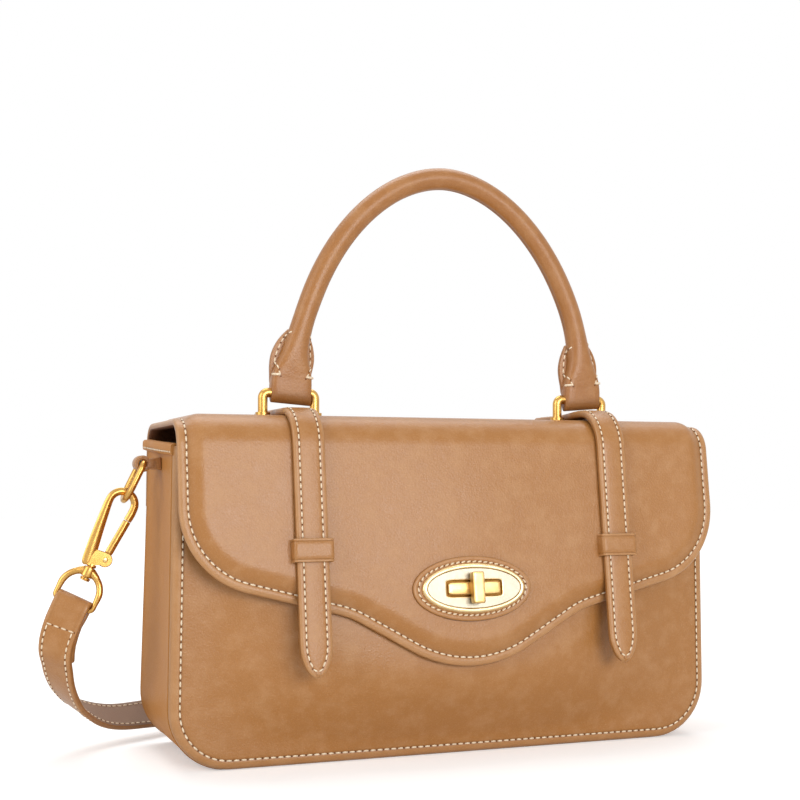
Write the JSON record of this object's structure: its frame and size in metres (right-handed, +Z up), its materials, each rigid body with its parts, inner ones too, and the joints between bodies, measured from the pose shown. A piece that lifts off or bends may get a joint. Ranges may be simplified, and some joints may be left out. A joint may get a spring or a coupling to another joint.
{
  "type": "satchel",
  "caption": "Small flap satchel with a rolled top handle, two decorative front straps, an oval turn lock and a shoulder strap on snap hooks.",
  "frame": {"origin": "on the floor under the middle of the bag's base", "axes": "+X to the bag's left-hand end as its wearer carries it, which is the viewer's right; +Y to the back; +Z up"},
  "size_m": [0.3424, 0.1752, 0.2675],
  "materials": {
    "leather": "smooth camel leather, satin",
    "lining": "dark brown woven lining",
    "filler": "plain board and cord filler, hidden",
    "gilt_metal": "warm satin gilt",
    "bright_gilt": "polished pale gilt"
  },
  "bodies": {
    "bag": {"front_panel": "leather", "back_panel": "leather", "gusset": "leather", "lining": "lining", "base_board": "filler", "flap_back_section": "leather", "flap_rear_bend": "leather", "lock_base": "gilt_metal", "ring_loop_left": "leather", "ring_loop_right": "leather", "shoulder_strap": "leather"},
    "flap_top": {"flap_top_section": "leather", "flap_front_bend": "leather", "strap_bend_left": "leather", "strap_bend_right": "leather", "strap_top_left": "leather", "strap_top_right": "leather", "bridge_left": "gilt_metal", "bridge_right": "gilt_metal", "bridge_screws": "gilt_metal"},
    "flap_front": {"flap_front_section": "leather", "strap_front_left": "leather", "strap_front_right": "leather", "keeper_left": "leather", "keeper_right": "leather", "lock_patch": "leather", "lock_plate": "bright_gilt", "lock_plate_backing": "gilt_metal", "lock_seat": "gilt_metal"},
    "knob": {"turn_knob": "gilt_metal"},
    "handle": {"handle_cover": "leather", "handle_core": "filler", "handle_end_left": "leather", "handle_end_right": "leather"},
    "left_clip": {"swivel_left": "gilt_metal"},
    "left_ring": {"ring_left": "gilt_metal"},
    "left_hook": {"hook_left": "gilt_metal", "gate_pin_left": "gilt_metal"},
    "left_gate": {"gate_left": "gilt_metal"},
    "right_clip": {"swivel_right": "gilt_metal"},
    "right_ring": {"ring_right": "gilt_metal"},
    "right_hook": {"hook_right": "gilt_metal", "gate_pin_right": "gilt_metal"},
    "right_gate": {"gate_right": "gilt_metal"}
  },
  "joints": [
    {"name": "flap_top_hinge", "type": "hinge", "parent": "bag", "child": "flap_top", "pos_m": [0, 0.0293, 0.1482], "axis": [-1, 0, 0], "range_deg": [0, 100], "deforming": ["flap_rear_bend"]},
    {"name": "flap_front_hinge", "type": "hinge", "parent": "flap_top", "child": "flap_front", "pos_m": [0, -0.0429, 0.1478], "axis": [-1, 0, 0], "range_deg": [0, 90], "deforming": ["flap_front_bend", "strap_bend_left", "strap_bend_right"]},
    {"name": "knob_turn", "type": "hinge", "parent": "flap_front", "child": "knob", "pos_m": [0, -0.05454, 0.0753], "axis": [0, -0.9909, 0.1349], "range_deg": [0, 90]},
    {"name": "handle_swing", "type": "hinge", "parent": "flap_top", "child": "handle", "pos_m": [0, -0.017, 0.1615], "axis": [1, 0, 0], "range_deg": [-78, 75]},
    {"name": "left_clip_swing", "type": "hinge", "parent": "bag", "child": "left_clip", "pos_m": [-0.13463, 0, 0.13], "axis": [0, 1, 0], "range_deg": [-5, 30], "deforming": ["shoulder_strap"]},
    {"name": "left_ring_swing", "type": "hinge", "parent": "bag", "child": "left_ring", "pos_m": [-0.13463, 0, 0.13], "axis": [0, 1, 0], "range_deg": [-5, 30]},
    {"name": "left_hook_twist", "type": "hinge", "parent": "left_clip", "child": "left_hook", "pos_m": [-0.1423, 0, 0.11427], "axis": [0.4384, 0, 0.8988], "range_deg": [-20, 20]},
    {"name": "left_gate_swing", "type": "hinge", "parent": "left_hook", "child": "left_gate", "pos_m": [-0.15063, 0, 0.08807], "axis": [0, -1, 0], "range_deg": [0, 20], "stiffness_Nm_per_rad": 0.01, "springref_deg": -20.05},
    {"name": "right_clip_swing", "type": "hinge", "parent": "bag", "child": "right_clip", "pos_m": [0.13463, 0, 0.13], "axis": [0, -1, 0], "range_deg": [-4, 20], "deforming": ["shoulder_strap"]},
    {"name": "right_ring_swing", "type": "hinge", "parent": "bag", "child": "right_ring", "pos_m": [0.13463, 0, 0.13], "axis": [0, -1, 0], "range_deg": [-4, 20]},
    {"name": "right_hook_twist", "type": "hinge", "parent": "right_clip", "child": "right_hook", "pos_m": [0.1453, 0.0065, 0.12734], "axis": [0.1555, -0.766, 0.6237], "range_deg": [-20, 20]},
    {"name": "right_gate_swing", "type": "hinge", "parent": "right_hook", "child": "right_gate", "pos_m": [0.14181, 0.02991, 0.11335], "axis": [0.9703, 0, -0.2419], "range_deg": [0, 20], "stiffness_Nm_per_rad": 0.01, "springref_deg": -20.05}
  ],
  "couplings": [
    {"joint": "left_ring_swing", "follows": "left_clip_swing", "ratio": 1},
    {"joint": "right_ring_swing", "follows": "right_clip_swing", "ratio": 1}
  ]
}
